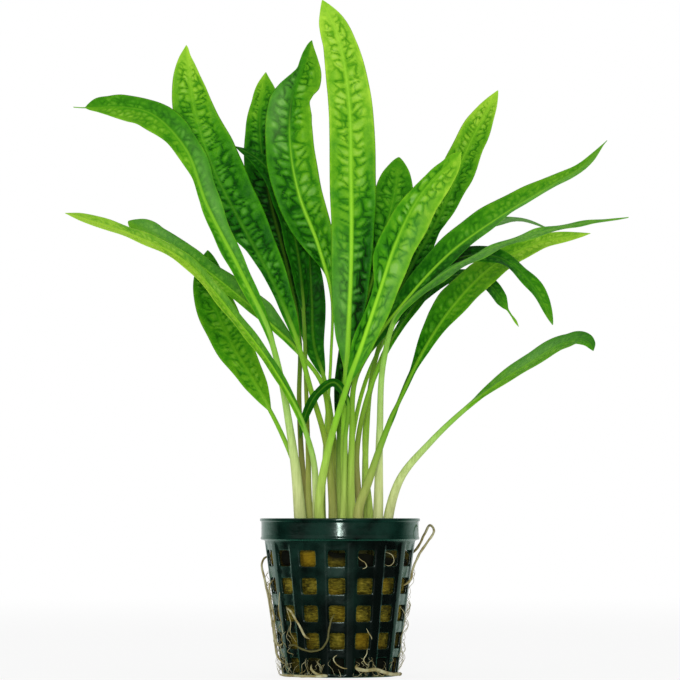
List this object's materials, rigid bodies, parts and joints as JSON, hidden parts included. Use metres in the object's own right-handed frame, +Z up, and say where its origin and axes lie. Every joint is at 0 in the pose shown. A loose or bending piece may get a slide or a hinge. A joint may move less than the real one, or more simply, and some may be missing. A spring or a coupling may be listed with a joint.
{
  "type": "potted cryptocoryne",
  "caption": "Aquarium plant with long crinkled green leaves on pale stalks, rooted in rock wool in a small black basket pot.",
  "frame": {"origin": "centre of the pot's flat underside", "axes": "+Z up along the pot's axis, -Y to the front, +X to the right as seen from the front"},
  "size_m": [0.1889, 0.1146, 0.231],
  "materials": {
    "pot_plastic": "moulded, nearly black, softly glossy",
    "rock_wool": "wet fibre, olive yellow",
    "leaf": "crinkled leaf with a satin shine, light midrib, pale stalk",
    "root": "matt cream root"
  },
  "bodies": {
    "root": {"pot": "pot_plastic", "rock_wool": "rock_wool", "leaf_left_arching": "leaf", "leaf_left_broad": "leaf", "leaf_low_left_front": "leaf", "leaf_low_left_back": "leaf", "leaf_left_back": "leaf", "leaf_back_left": "leaf", "leaf_back_arching": "leaf", "leaf_twisted": "leaf", "leaf_tall": "leaf", "leaf_right_front": "leaf", "leaf_right_back": "leaf", "leaf_back_right": "leaf", "leaf_long_right": "leaf", "leaf_narrow_right": "leaf", "leaf_low_right": "leaf", "leaf_nodding": "leaf", "leaf_curled": "leaf", "leaf_outer_right": "leaf", "leaf_behind_right": "leaf", "leaf_small_front": "leaf", "leaf_centre_back": "leaf", "root_right_loop": "root", "root_front_left": "root", "root_front_curve": "root", "root_low_right": "root", "root_left_outer": "root", "root_left_inner": "root", "root_foot_left": "root"}
  },
  "joints": []
}
